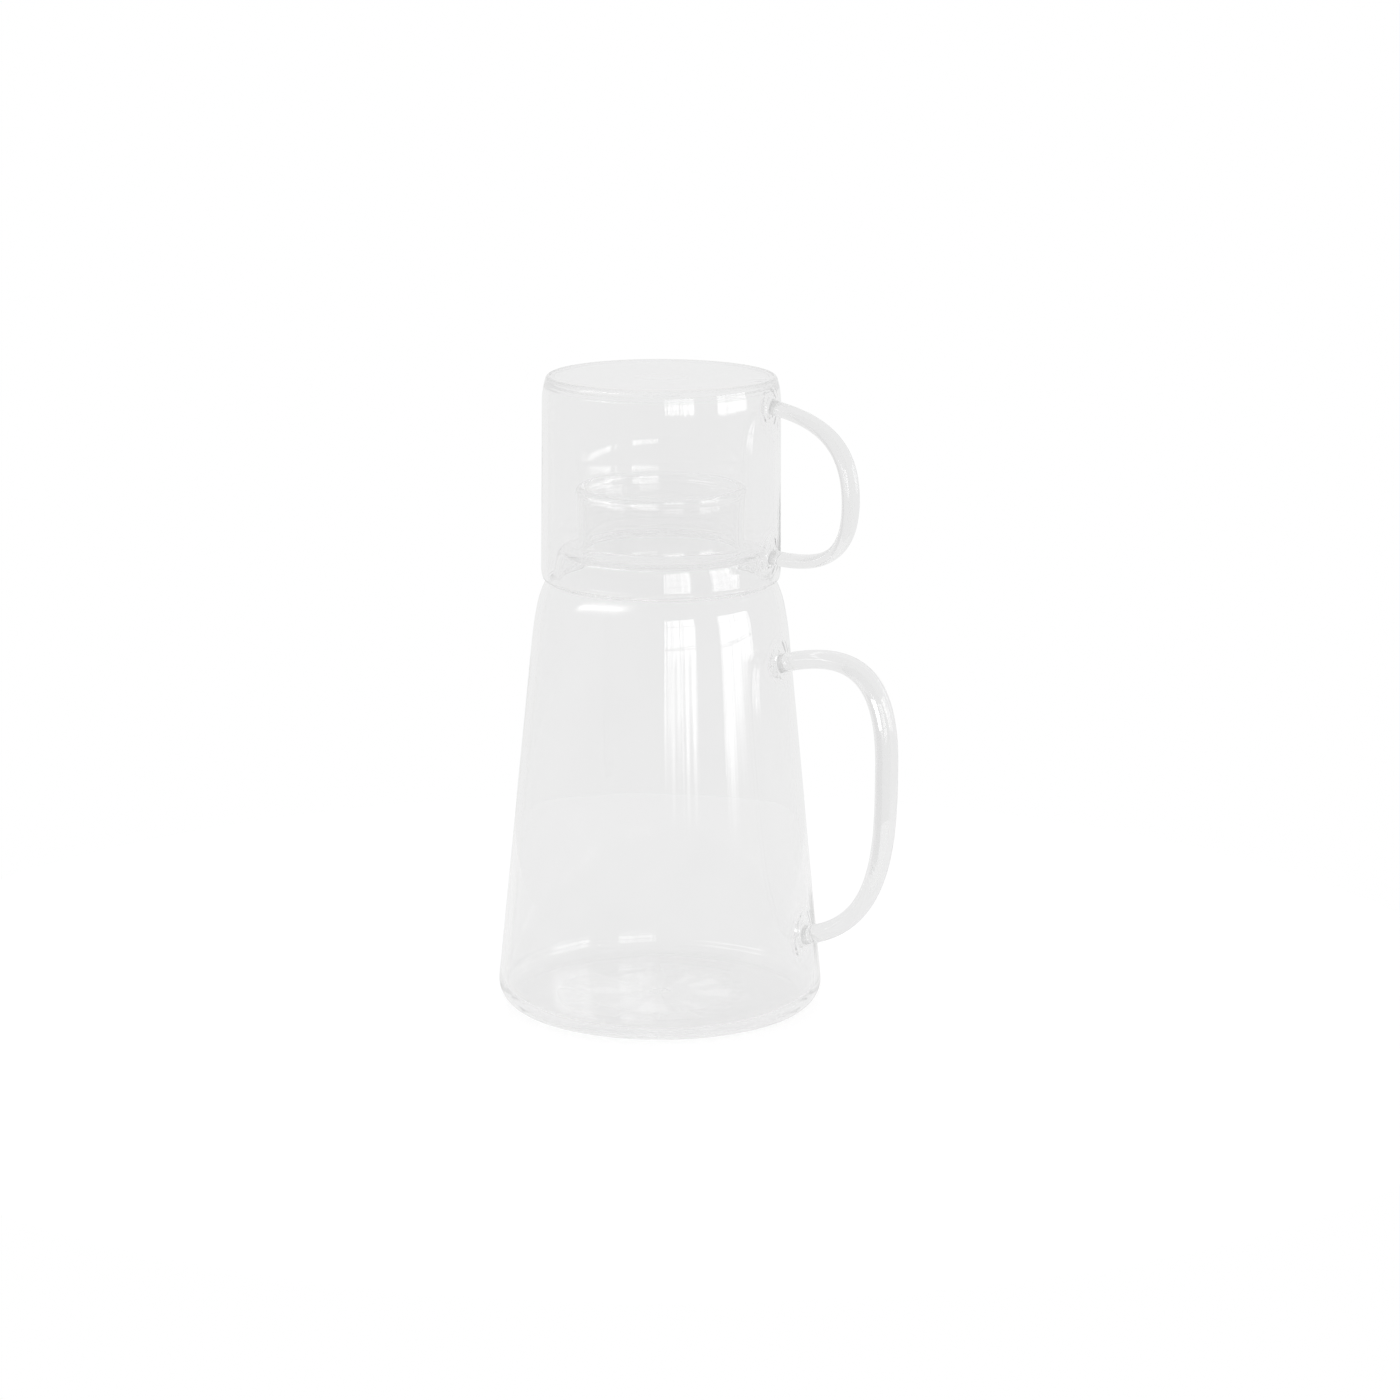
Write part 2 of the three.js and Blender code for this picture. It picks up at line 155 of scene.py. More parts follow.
class CarafeGripSizes(bpy.types.PropertyGroup):
    top: length("Top", "Height of the upper end, inside the wall", 120.3)
    bottom: length("Bottom", "Height of the lower end, inside the wall", 28.3)
    belly: length("Belly", "Height of the outermost point", 90.3)
    standoff: length("Standoff", "From the side out to the outermost point", 35.1)
    top_angle: angle("Top angle", "How far the upper end rises as it leaves the wall", 18)
    bottom_angle: angle("Bottom angle", "How far the lower end rises as it leaves the wall", 4)
    top_arm: length("Top arm", "How far the rod keeps its heading at the upper end", 25)
    bottom_arm: length("Bottom arm", "How far the rod keeps its heading at the lower end", 34.7)
    over_belly: length("Over belly", "How far the rod runs upright above the belly", 38.2)
    under_belly: length("Under belly", "How far the rod runs upright below the belly", 25.8)
    root_width: length("Root width", "Section near the welds, across", 9)
    root_thickness: length("Root thickness", "Section near the welds, through", 6.2)
    width: length("Width", "Flattened section at the belly, across", 13)
    thickness: length("Thickness", "Flattened section at the belly, through", 5.8)


class TumblerSizes(bpy.types.PropertyGroup):
    top: length("Top", "Height of the closed end above the table", TUMBLER_TOP / MM)
    height: length("Height", "From the mouth to the closed end", 68.66)
    end_radius: length("End radius", "Where the line of the side would meet the end", 39.8)
    lip_radius: length("Lip radius", "Outside, just above the lip", 40.3)
    wall: length("Wall", "Thickness of the side", 2)
    end: length("End", "Thickness of the closed end", 3)
    end_bend: length("End bend", "Slow curve of the side towards the closed end", 26)
    end_turn: angle("End turn", "How far the slow curve turns", 17)
    corner: length("Corner", "Rounding outside between that curve and the end", 1.6)
    inner_corner: length("Inner corner", "The same inside", 2)
    lip_bend: length("Lip bend", "Radius on which the lip is drawn in", 12)
    lip_turn: angle("Lip turn", "How far the lip is drawn in", 14)
    pontil_radius: length("Pontil radius", "Reach of the low swelling in the end", 9)
    pontil_height: length("Pontil height", "Rise of the low swelling in the end", 0.6)


class TumblerGripSizes(bpy.types.PropertyGroup):
    top: length("Top", "Height of the upper end above the mouth", 61.2)
    bottom: length("Bottom", "Height of the lower end above the mouth", 10.6)
    belly: length("Belly", "Height of the outermost point above the mouth", 30.2)
    standoff: length("Standoff", "From the side out to the outermost point", 28.1)
    top_angle: angle("Top angle", "How far the upper end rises as it leaves the wall", -9)
    bottom_angle: angle("Bottom angle", "How far the lower end rises as it leaves the wall", -8)
    top_arm: length("Top arm", "How far the rod keeps its heading at the upper end", 17.8)
    bottom_arm: length("Bottom arm", "How far the rod keeps its heading at the lower end", 17)
    over_belly: length("Over belly", "How far the rod runs upright above the belly", 23.3)
    under_belly: length("Under belly", "How far the rod runs upright below the belly", 23.5)
    root_width: length("Root width", "Section near the welds, across", 7.6)
    root_thickness: length("Root thickness", "Section near the welds, through", 4.8)
    width: length("Width", "Flattened section at the belly, across", 11.5)
    thickness: length("Thickness", "Flattened section at the belly, through", 3.8)


class WeldSizes(bpy.types.PropertyGroup):
    sink: length("Sink", "How far a rod's centreline runs into the wall", 5)
    reach: length("Reach", "Length of a rod that spreads out towards the wall", 2.5)
    spread: FloatProperty(
        name="Spread", description="How many times its section a rod spreads to", default=1.15
    )
    squareness: FloatProperty(
        name="Squareness", description="2 makes a rod's belly an ellipse, more a strap", default=2.6
    )
    rise: length("Rise", "First ring of the rod above the wall", 0.6)
    ripple: length("Ripple", "Depth of the waves that the weld's heat left in the wall", 0.12)
    ripple_reach: length("Ripple reach", "How far the waves run from the middle of a weld", 12)
    ripple_spacing: length("Ripple spacing", "Distance between the waves", 3.5)
    ripple_stray: length("Ripple stray", "How far the waves stray from true rings", 3)


class GlassFinish(bpy.types.PropertyGroup):
    tint: colour("Tint", "What white light becomes on the way through one wall", "#fefefe")
    thick_tint: colour("Thick tint", "The same where the glass gathered thicker", "#fbfbfb")
    rod_tint: colour("Rod tint", "Glass where it is solid, in the handles", "#f8f8f8")
    deep_tint: colour("Deep tint", "What is left of light that ran long inside the glass", "#f4f4f4")
    ior: FloatProperty(name="IOR", description="Refraction of borosilicate glass", default=1.474)
    roughness: FloatProperty(
        name="Roughness", description="Fire polished glass", default=0.0, subtype="FACTOR"
    )
    wave_height: length("Wave height", "Slow waves of the blown wall", 0.05)
    wave_length: length("Wave length", "Size of the slow waves", 26)
    line_depth: length("Line depth", "Fine upright lines from drawing the tube", 0.012)
    line_spacing: length("Line spacing", "Distance between the fine lines", 1.6)
    line_length: length("Line length", "Height of a fine line", 60)
    line_start: FloatProperty(
        name="Line start", description="Level of the slow noise at which fine lines set in", default=0.4
    )
    line_full: FloatProperty(
        name="Line full", description="Level at which they have their full depth", default=0.65
    )


class StageSettings(bpy.types.PropertyGroup):
    camera_distance: length("Camera distance", "From the axis, along the floor", 1415.2)
    camera_height: length("Camera height", "Above the floor", 420.2)
    camera_azimuth: angle("Camera azimuth", "Round from the view along +Y", 24)
    camera_pan: angle("Camera pan", "Aim to the right of the axis", 0.539)
    camera_tilt: angle("Camera tilt", "Aim below the horizon", 12.548)
    camera_roll: angle("Camera roll", "Turn about the line of sight", 0.269)
    focal_length: FloatProperty(
        name="Focal length", description="Of the lens, in millimetres", default=110.13
    )
    floor_radius: length("Floor radius", "Reach of the pale table top", 295)
    floor_shade: colour("Floor shade", "Part of the floor's white that light and shadow make", "#7c7c7c")
    floor_white: FloatProperty(
        name="Floor white", description="The floor's own white in the picture", default=0.86
    )
    floor_haze: FloatProperty(
        name="Floor haze", description="The floor's own white, seen through the glass", default=0.825
    )
    paper: colour("Paper", "Backdrop as it shows behind the object", "#ffffff")
    haze: colour("Haze", "Backdrop as it shows through the glass", "#f0f0f0")
    wings: colour("Wings", "Side walls as they show in the glass", "#ededed")
    room: colour("Room", "The room on the camera's side as it shows in the glass", "#e4e4e4")
    wall_distance: length("Wall distance", "From the axis to each wall that has a light", 3000)
    window_height: length("Window height", "From a window's sill to its head", 1400)
    window_dusk: length("Window dusk", "Height above the sill where the view is fully bright", 150)
    window_fray: length("Window fray", "How far the sill rises and falls from fold to fold", 110)
    window_fold: length("Window fold", "Width of a fold of the blind in front of the view", 80)
    window_dip: FloatProperty(
        name="Window dip", description="How much darker a fold can be", default=0.6, subtype="FACTOR"
    )
    window_bar: length("Window bar", "Width of the bars between the panes", 40)
    window_strength: FloatProperty(
        name="Window strength", description="Brightness of a window, where paper is 1", default=3.2
    )
    first_facing: angle("First facing", "Wall of the first window, right from the camera", 17.5)
    first_left: angle("First left", "Left edge of the first window, right from the camera", 3)
    first_right: angle("First right", "Right edge of the first window, right from the camera", 32)
    first_sill: length("First sill", "Height of its lower edge, below the table top", -120)
    second_facing: angle("Second facing", "Wall of the second window, right from the camera", 50)
    second_left: angle("Second left", "Left edge of the second window, right from the camera", 56)
    second_right: angle("Second right", "Right edge of the second window", 90)
    second_sill: length("Second sill", "Height of its lower edge, below the table top", -220)
    strip_facing: angle("Strip facing", "Wall of the strip of light, right from the camera", -32)
    strip_left: angle("Strip left", "Left end of the strip of light", -94)
    strip_right: angle("Strip right", "Right end of the strip of light", -17)
    strip_bottom: length("Strip bottom", "Height of its lower edge", 1050)
    strip_top: length("Strip top", "Height of its upper edge", 2800)
    strip_strength: FloatProperty(
        name="Strip strength", description="Brightness of the strip, where paper is 1", default=4.5
    )


class CarafeSetSettings(bpy.types.PropertyGroup):
    carafe: PointerProperty(type=CarafeSizes)
    carafe_grip: PointerProperty(type=CarafeGripSizes)
    tumbler: PointerProperty(type=TumblerSizes)
    tumbler_grip: PointerProperty(type=TumblerGripSizes)
    weld: PointerProperty(type=WeldSizes)
    glass: PointerProperty(type=GlassFinish)
    stage: PointerProperty(type=StageSettings)


def heading(turn):
    """Unit vector in the XZ plane, turned up from +X."""
    return Vector((math.cos(turn), 0.0, math.sin(turn)))


class Line(NamedTuple):
    """A straight run of a section: the angle that it faces and its distance from the origin."""

    facing: float
    distance: float

    @classmethod
    def through(cls, point, facing):
        return cls(facing, point.dot(heading(facing)))

    def moved_in(self, inset):
        return Line(self.facing, self.distance - inset)

    def meet(self, other):
        a = heading(self.facing)
        b = heading(other.facing)
        cross = a.x * b.z - a.z * b.x
        x = (self.distance * b.z - other.distance * a.z) / cross
        z = (other.distance * a.x - self.distance * b.x) / cross
        return Vector((x, 0.0, z))

    def hollow(self, other, radius):
        """Centre of a hollow rounding between two runs."""
        return self.moved_in(-radius).meet(other.moved_in(-radius))


def level(height):
    return Line(UP, height)


class Bend(NamedTuple):
    """A round stretch of a section. A negative radius bends it the hollow way."""

    centre: Vector
    radius: float
    start: float
    end: float
    steps: int

    def begin(self):
        return self.centre + heading(self.start) * self.radius

    def turned_back(self):
        return self._replace(start=self.end, end=self.start)


class Pen:
    """Draws half of a turned section in the XZ plane, extruding one vertex at its tip."""

    def __init__(self, bm, start):
        self.bm = bm
        self.tip = bm.verts.new(start)

    def line_to(self, point):
        grown = bmesh.ops.extrude_vert_indiv(self.bm, verts=[self.tip])
        self.tip = grown["verts"][0]
        self.tip.co = point

    def follow(self, bends):
        for bend in bends:
            self.line_to(bend.begin())
            swept = bmesh.ops.spin(
                self.bm, geom=[self.tip], cent=bend.centre, axis=(0.0, -1.0, 0.0),
                angle=bend.end - bend.start, steps=bend.steps,
            )
            self.tip = swept["geom_last"][0]


def backwards(bends):
    return [bend.turned_back() for bend in reversed(bends)]


def swelling(reach, rise, base, facing):
    """Bends from the rim of a low swelling in to its top on the axis. Facing is 1 or -1 up."""
    turn = 2 * math.atan(rise / reach)
    radius = reach / (2 * math.sin(turn))
    foot = Vector((reach, 0.0, base + facing * radius))
    crown = Vector((0.0, 0.0, base + facing * (rise - radius)))
    return [
        Bend(foot, radius, -facing * UP, -facing * (UP + turn), SLOW_STEPS),
        Bend(crown, radius, facing * (UP - turn), facing * UP, SLOW_STEPS),
    ]


class CarafeForm:
    """The lines and centres that the carafe's outer and inner skins share."""

    def __init__(self, sizes):
        self.sizes = sizes
        self.shoulder_facing = sizes.side_lean + sizes.shoulder_turn
        self.brow_facing = self.shoulder_facing + sizes.brow_turn
        self.ledge_facing = UP - sizes.ledge_slope
        self.collar_facing = sizes.collar_lean + sizes.collar_turn
        self.deck_facing = UP - sizes.deck_slope
        self.neck_facing = -sizes.neck_flare
        self.side = Line.through(Vector((sizes.foot_radius, 0.0, 0.0)), sizes.side_lean)
        shoulder_start = self.side.meet(level(sizes.shoulder_start))
        self.shoulder_centre = shoulder_start - heading(sizes.side_lean) * sizes.shoulder_radius
        to_brow = heading(self.shoulder_facing) * (sizes.shoulder_radius - sizes.brow_radius)
        self.brow_centre = self.shoulder_centre + to_brow
        to_ledge = heading(self.brow_facing) * (sizes.brow_radius - sizes.ledge_edge)
        self.ledge_edge_centre = self.brow_centre + to_ledge
        ledge_start = self.ledge_edge_centre + heading(self.ledge_facing) * sizes.ledge_edge
        ledge = Line.through(ledge_start, self.ledge_facing)
        collar_foot = ledge.meet(Line(0.0, ledge_start.x - sizes.ledge_width))
        collar = Line.through(collar_foot, sizes.collar_lean)
        self.ledge_fillet_centre = ledge.hollow(collar, sizes.ledge_fillet)
        to_collar = heading(sizes.collar_lean) * (sizes.ledge_fillet + sizes.collar_radius)
        self.collar_centre = self.ledge_fillet_centre - to_collar
        to_deck = heading(self.collar_facing) * (sizes.collar_radius - sizes.deck_edge)
        self.deck_edge_centre = self.collar_centre + to_deck
        deck_start = self.deck_edge_centre + heading(self.deck_facing) * sizes.deck_edge
        deck = Line.through(deck_start, self.deck_facing)
        self.neck = Line.through(Vector((sizes.mouth_radius, 0.0, sizes.height)), self.neck_facing)
        self.neck_fillet_centre = deck.hollow(self.neck, sizes.neck_fillet)

    def wall_at(self, height):
        return self.side.meet(level(height)).x

    def skin(self, inset, floor):
        sizes = self.sizes
        lean = sizes.side_lean
        collar_lean = sizes.collar_lean
        heel = sizes.heel_radius - inset
        heel_centre = self.side.moved_in(inset + heel).meet(level(floor + heel))
        shoulder = sizes.shoulder_radius - inset
        brow = sizes.brow_radius - inset
        ledge_edge = sizes.ledge_edge - inset
        ledge_fillet = -sizes.ledge_fillet - inset
        collar = sizes.collar_radius - inset
        deck_edge = sizes.deck_edge - inset
        neck_fillet = -sizes.neck_fillet - inset
        return [
            Bend(heel_centre, heel, -UP, lean, HEEL_STEPS),
            Bend(self.shoulder_centre, shoulder, lean, self.shoulder_facing, SLOW_STEPS),
            Bend(self.brow_centre, brow, self.shoulder_facing, self.brow_facing, BEND_STEPS),
            Bend(self.ledge_edge_centre, ledge_edge, self.brow_facing, self.ledge_facing, BEND_STEPS),
            Bend(self.ledge_fillet_centre, ledge_fillet, self.ledge_facing, collar_lean, BEND_STEPS),
            Bend(self.collar_centre, collar, collar_lean, self.collar_facing, SLOW_STEPS),
            Bend(self.deck_edge_centre, deck_edge, self.collar_facing, self.deck_facing, BEND_STEPS),
            Bend(self.neck_fillet_centre, neck_fillet, self.deck_facing, self.neck_facing, BEND_STEPS),
        ]

    def rim(self):
        bead = self.sizes.rim_bead
        half_wall = self.sizes.wall / 2
        centre = self.neck.moved_in(half_wall).meet(level(self.sizes.height - bead))
        undercut = math.acos(half_wall / bead)
        start = self.neck_facing - undercut
        return [Bend(centre, bead, start, self.neck_facing + math.pi + undercut, RIM_STEPS)]

    def draw(self, bm):
        sizes = self.sizes
        pen = Pen(bm, (0.0, 0.0, 0.0))
        pen.follow(self.skin(0.0, 0.0))
        pen.follow(self.rim())
        pen.follow(backwards(self.skin(sizes.wall, sizes.floor)))
        pen.follow(swelling(sizes.pontil_radius, sizes.pontil_height, sizes.floor, 1))


class TumblerForm:
    """The lines and centres of the tumbler, measured up from its mouth, which faces down."""

    def __init__(self, sizes):
        self.sizes = sizes
        self.lip_end_radius = sizes.wall / 2
        reach = sizes.lip_bend - self.lip_end_radius
        lip_height = self.lip_end_radius + reach * math.sin(sizes.lip_turn)
        self.lip_centre = Vector((sizes.lip_radius - sizes.lip_bend, 0.0, lip_height))
        self.lip_end = self.lip_centre + heading(-sizes.lip_turn) * reach
        taper = sizes.lip_radius - sizes.end_radius
        self.facing = math.atan2(taper, sizes.height - lip_height)
        wall_point = self.lip_centre + heading(self.facing) * sizes.lip_bend
        self.side = Line.through(wall_point, self.facing)
        end_rise = (sizes.end_bend - sizes.corner) * math.sin(self.facing + sizes.end_turn)
        end_level = level(sizes.height - sizes.corner - end_rise)
        self.end_centre = self.side.moved_in(sizes.end_bend).meet(end_level)

    def wall_at(self, height):
        above = height - self.end_centre.z
        if above > 0.0:
            return self.end_centre.x + math.sqrt(self.sizes.end_bend ** 2 - above ** 2)
        return self.side.meet(level(height)).x

    def skin(self, inset, end, corner):
        lip = self.sizes.lip_bend - inset
        bend = self.sizes.end_bend - inset
        reach = bend - corner
        turn = math.asin((end - corner - self.end_centre.z) / reach)
        corner_centre = self.end_centre + heading(turn) * reach
        return [
            Bend(self.lip_centre, lip, -self.sizes.lip_turn, self.facing, BEND_STEPS),
            Bend(self.end_centre, bend, self.facing, turn, BEND_STEPS),
            Bend(corner_centre, corner, turn, UP, CORNER_STEPS),
        ]

    def draw(self, bm):
        sizes = self.sizes
        inside = sizes.height - sizes.end
        turn = sizes.lip_turn
        lip = Bend(self.lip_end, self.lip_end_radius, math.pi - turn, math.tau - turn, HEEL_STEPS)
        inner_skin = self.skin(sizes.wall, inside, sizes.inner_corner)
        outer_skin = self.skin(0.0, sizes.height, sizes.corner)
        pontil = backwards(swelling(sizes.pontil_radius, sizes.pontil_height, inside, -1))
        pen = Pen(bm, pontil[0].begin())
        pen.follow(pontil)
        pen.follow(backwards(inner_skin))
        pen.follow([lip])
        pen.follow(outer_skin)
        pen.line_to((0.0, 0.0, sizes.height))


class Station(NamedTuple):
    """One ring of a rod: its middle, the way that it faces outwards, and half its section."""

    middle: Vector
    outward: Vector
    half_width: float
    half_thickness: float
    squareness: float

    def place(self, clock):
        across = self.half_width * self.squared(math.sin(clock))
        through = self.half_thickness * self.squared(math.cos(clock))
        return self.middle + Vector((0.0, across, 0.0)) + self.outward * through

    def squared(self, share):
        """Share of a half section: squareness 2 gives an ellipse, more a flat-sided strap."""
        return math.copysign(abs(share) ** (2 / self.squareness), share)


class Rod:
    """A flattened glass rod that leaves the wall at the top and comes back at the bottom."""

    def __init__(self, grip, weld, wall_at):
        self.grip = grip
        self.weld = weld
        self.wall_at = wall_at
        top_end = Vector((wall_at(grip.top) - weld.sink, 0.0, grip.top))
        bottom_end = Vector((wall_at(grip.bottom) - weld.sink, 0.0, grip.bottom))
        outermost = Vector((wall_at(grip.belly) + grip.standoff, 0.0, grip.belly))
        top_handle = top_end + heading(grip.top_angle) * grip.top_arm
        bottom_handle = bottom_end + heading(grip.bottom_angle) * grip.bottom_arm
        above = outermost + heading(UP) * grip.over_belly
        below = outermost - heading(UP) * grip.under_belly
        upper = interpolate_bezier(top_end, top_handle, above, outermost, CURVE_SAMPLES)
        lower = interpolate_bezier(outermost, below, bottom_handle, bottom_end, CURVE_SAMPLES)
        self.points = upper + lower[1:]
        self.lengths = [0.0]
        for before, after in zip(self.points, self.points[1:]):
            self.lengths.append(self.lengths[-1] + (after - before).length)
        clear = [self.clearance(point) > weld.rise for point in self.points]
        self.first = self.lengths[clear.index(True)]
        self.last = self.lengths[len(clear) - 1 - clear[::-1].index(True)]

    def clearance(self, point):
        return point.x - self.wall_at(point.z)

    def weld_height(self, points):
        """Height at which the centreline crosses the wall, coming from one end."""
        return next(point.z for point in points if self.clearance(point) > 0.0)

    def upper_weld(self):
        return self.weld_height(self.points)

    def lower_weld(self):
        return self.weld_height(reversed(self.points))

    def weld_half_width(self):
        return self.grip.root_width * self.weld.spread / 2

    def weld_half_height(self):
        return self.grip.root_thickness * self.weld.spread / 2

    def station(self, distance):
        index = next(i for i, run in enumerate(self.lengths) if run >= distance)
        index = max(1, min(index, len(self.points) - 2))
        run = self.lengths[index] - self.lengths[index - 1]
        share = (distance - self.lengths[index - 1]) / run
        middle = self.points[index - 1].lerp(self.points[index], share)
        start = self.points[index] - self.points[max(index - 2, 0)]
        end = self.points[index + 1] - self.points[index - 1]
        along = start.normalized().lerp(end.normalized(), share).normalized()
        total = self.lengths[-1]
        from_weld = min(distance, total - distance) - self.weld.sink
        nearness = 1 - min(max(from_weld / self.weld.reach, 0.0), 1.0)
        spread = 1 + (self.weld.spread - 1) * nearness ** 2
        flatness = math.sin(math.pi * distance / total) ** 2
        width = self.grip.root_width + (self.grip.width - self.grip.root_width) * flatness
        thick = self.grip.root_thickness
        thick += (self.grip.thickness - self.grip.root_thickness) * flatness
        outward = Vector((-along.z, 0.0, along.x))
        squareness = 2 + flatness * (self.weld.squareness - 2)
        return Station(middle, outward, width * spread / 2, thick * spread / 2, squareness)

    def stations(self):
        """Rings from the upper weld to the lower one, closer together near the welds."""
        for ring in range(ROD_RINGS + 1):
            share = ring / ROD_RINGS
            share -= ROD_CROWDING * math.sin(math.tau * share) / math.tau
            yield self.station(self.first + share * (self.last - self.first))


def weld_rows(middle, half_height):
    return [middle + half_height * row / WELD_ROWS for row in range(-WELD_ROWS, WELD_ROWS + 1)]


def turn_wall(bm, rows):
    """Turns the drawn section about Z into a closed wall of glass, with rows at these heights."""
    for height in rows:
        bmesh.ops.bisect_plane(
            bm, geom=bm.verts[:] + bm.edges[:], dist=SAME_PLACE,
            plane_co=(0.0, 0.0, height), plane_no=(0.0, 0.0, 1.0),
        )
    for edge in bm.edges[:]:
        cuts = math.ceil(edge.calc_length() / ROW_STEP) - 1
        if cuts > 0:
            bmesh.ops.subdivide_edges(bm, edges=[edge], cuts=cuts)
    bmesh.ops.remove_doubles(bm, verts=bm.verts[:], dist=SAME_PLACE)
    bmesh.ops.spin(
        bm, geom=bm.verts[:] + bm.edges[:], cent=(0.0, 0.0, 0.0), axis=(0.0, 0.0, 1.0),
        angle=math.tau, steps=TURN_STEPS, use_merge=True,
    )
    bmesh.ops.remove_doubles(bm, verts=bm.verts[:], dist=SAME_PLACE)
    bmesh.ops.recalc_face_normals(bm, faces=bm.faces[:])


def wave_wall(bm, finish):
    """Moves the wall by the slow waves of blowing, and marks where it was drawn upright."""
    bm.normal_update()
    drawn = bm.verts.layers.float["drawn"]
    for vert in bm.verts:
        upright = 1 - abs(vert.normal.z)
        longest = max(edge.calc_length() for edge in vert.link_edges)
        vert[drawn] = upright if longest > LONG_ROW else 0.0
        lift = finish.wave_height * upright * noise.noise(vert.co / finish.wave_length)
        vert.co += vert.normal * lift


def open_weld(bm, rod, height):
    """Takes the outer skin away under a weld and rounds the edge of the hole that is left."""
    half_width = rod.weld_half_width()
    half_height = rod.weld_half_height()
    half_turn = math.tau * WELD_COLUMNS / TURN_STEPS
    before = {edge for edge in bm.edges if edge.is_boundary}
    covered = []
    for face in bm.faces:
        middle = face.calc_center_median()
        outside = face.normal.x > 0.0 and middle.x > 0.0
        close = abs(middle.z - height) < half_height and abs(math.atan2(middle.y, middle.x)) < half_turn
        if outside and close:
            covered.append(face)
    bmesh.ops.delete(bm, geom=covered, context="FACES")
    edges = [edge for edge in bm.edges if edge.is_boundary and edge not in before]
    verts = list({vert for edge in edges for vert in edge.verts})

    def clock(vert):
        return math.atan2(vert.co.y / half_width, (vert.co.z - height) / half_height) % math.tau

    full_turn = round(math.tau, SAME_CLOCK)
    verts.sort(key=lambda vert: round(clock(vert), SAME_CLOCK) % full_turn)
    layer = bm.verts.layers.float["clock"]
    for index, vert in enumerate(verts):
        turn = math.tau * index / len(verts)
        vert[layer] = turn
        across = half_width * math.sin(turn)
        up = height + half_height * math.cos(turn)
        vert.co = (math.sqrt(rod.wall_at(up) ** 2 - across ** 2), across, up)
    return edges


def draw_rod(bm, rod, edges, lower_edges):
    """Draws the rod out of the upper weld, ring by ring, and bridges it to the lower weld."""
    layer = bm.verts.layers.float["clock"]
    drawn = bm.verts.layers.float["drawn"]
    gathered = bm.verts.layers.float["gathered"]
    for station in rod.stations():
        grown = bmesh.ops.extrude_edge_only(bm, edges=edges)
        fresh = {item for item in grown["geom"] if isinstance(item, bmesh.types.BMVert)}
        # A ring is drawn larger, by as much as the subdivision will pull it in
        rounding = 3 / (2 + math.cos(math.tau / len(fresh)))
        wide = station._replace(
            half_width=station.half_width * rounding,
            half_thickness=station.half_thickness * rounding,
        )
        for vert in fresh:
            vert.co = wide.place(vert[layer])
            vert[drawn] = 0.0
            vert[gathered] = 1.0
        lines = [item for item in grown["geom"] if isinstance(item, bmesh.types.BMEdge)]
        edges = [edge for edge in lines if set(edge.verts) <= fresh]
    bmesh.ops.bridge_loops(bm, edges=edges + lower_edges)


def new_piece(name, bm, material):
    mesh = bpy.data.meshes.new(name)
    bm.to_mesh(mesh)
    bm.free()
    mesh.materials.append(material)
    piece = bpy.data.objects.new(name, mesh)
    bpy.context.scene.collection.objects.link(piece)
    return piece


def blow_vessel(name, glass_name, form, grip, settings, mouth_height):
    """Makes one vessel with its handle as a single closed body of glass."""
    rod = Rod(grip, settings.weld, form.wall_at)
    welds = [rod.upper_weld(), rod.lower_weld()]
    bm = bmesh.new()
    for layer in ("clock", "drawn", "gathered"):
        bm.verts.layers.float.new(layer)
    form.draw(bm)
    rows = [row for height in welds for row in weld_rows(height, rod.weld_half_height())]
    turn_wall(bm, rows)
    wave_wall(bm, settings.glass)
    rims = [open_weld(bm, rod, height) for height in welds]
    draw_rod(bm, rod, *rims)
    bmesh.ops.recalc_face_normals(bm, faces=bm.faces[:])
    bm.verts.layers.float.remove(bm.verts.layers.float["clock"])
    bmesh.ops.translate(bm, verts=bm.verts[:], vec=(0.0, 0.0, mouth_height))
    for face in bm.faces:
        face.smooth = True
    weld_places = [Vector((form.wall_at(height), 0.0, height + mouth_height)) for height in welds]
    glass = borosilicate(glass_name, settings.glass, settings.weld, weld_places)
    piece = new_piece(name, bm, glass)
    smoothing = piece.modifiers.new("Flowing glass", "SUBSURF")
    smoothing.levels = 1
    smoothing.render_levels = 1
    return piece


def add_node(tree, kind, inputs=None, **settings):
    """Adds a node with its settings, and gives each input a value or a link."""
    node = tree.nodes.new(kind)
    for key, value in settings.items():
        setattr(node, key, value)
    for socket, value in (inputs or {}).items():
        if isinstance(value, bpy.types.NodeSocket):
            tree.links.new(value, node.inputs[socket])
        else:
            node.inputs[socket].default_value = value
    return node


def reckon(tree, operation, *values):
    """Reckons with values or links, and gives the result."""
    node = add_node(tree, "ShaderNodeMath", dict(enumerate(values)), operation=operation)
    return node.outputs["Value"]


def mix_colours(tree, factor, first, second):
    mix = {"Factor": factor, "A": first, "B": second}
    return add_node(tree, "ShaderNodeMix", mix, data_type="RGBA").outputs["Result"]


def mix_shaders(tree, factor, first, second):
    mix = {0: factor, 1: first.outputs[0], 2: second.outputs[0]}
    return add_node(tree, "ShaderNodeMixShader", mix)


def add_shaders(tree, first, second):
    return add_node(tree, "ShaderNodeAddShader", {0: first.outputs[0], 1: second.outputs[0]})


def blank_material(name):
    material = bpy.data.materials.new(name)
    material.use_nodes = True
    material.node_tree.nodes.clear()
    return material


